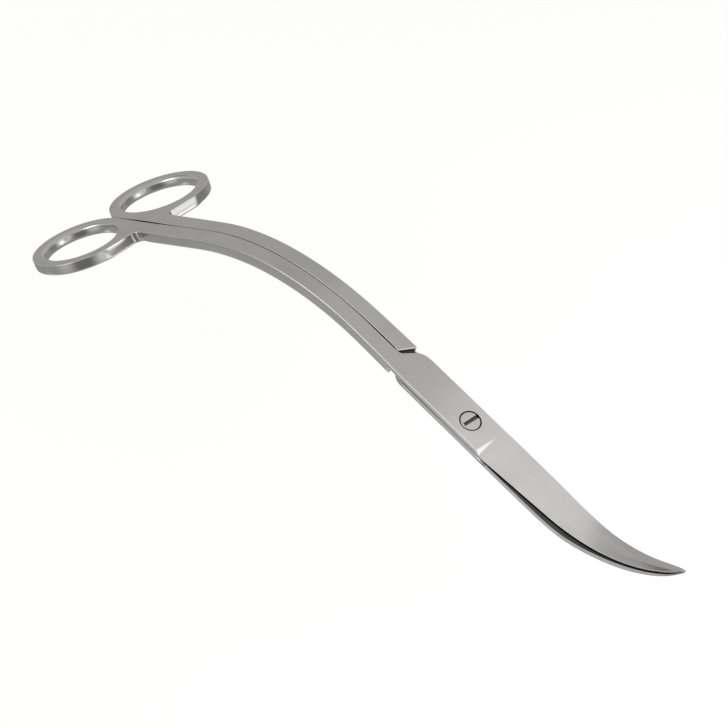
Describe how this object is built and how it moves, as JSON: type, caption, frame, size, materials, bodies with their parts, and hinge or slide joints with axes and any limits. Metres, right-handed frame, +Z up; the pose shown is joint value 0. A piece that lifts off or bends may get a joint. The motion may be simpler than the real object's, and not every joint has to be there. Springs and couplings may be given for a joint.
{
  "type": "wick trimming scissors",
  "caption": "Long double-curved steel scissors for trimming candle wicks deep in a jar: lap-jointed halves with finger rings turn on a slotted pivot screw.",
  "frame": {"origin": "on the table under the middle of the closed scissors' bounding box", "axes": "+X from the finger rings to the blade tip, +Y to the lower half's ring, +Z up, with the closed scissors lying on a table on a ring and on the belly of the blades"},
  "size_m": [0.2516, 0.0686, 0.0377],
  "materials": {
    "forged_steel": "satin brushed stainless steel with polished edges",
    "screw_steel": "fine turned stainless steel"
  },
  "bodies": {
    "lower_body": {"lower_half": "forged_steel", "pivot_screw": "screw_steel"},
    "upper_body": {"upper_half": "forged_steel"}
  },
  "joints": [
    {"name": "scissor_pivot", "type": "hinge", "parent": "lower_body", "child": "upper_body", "pos_m": [0.04703, -0.00052, 0.01641], "axis": [0.3331, 0, 0.9429], "range_deg": [0, 75]}
  ]
}
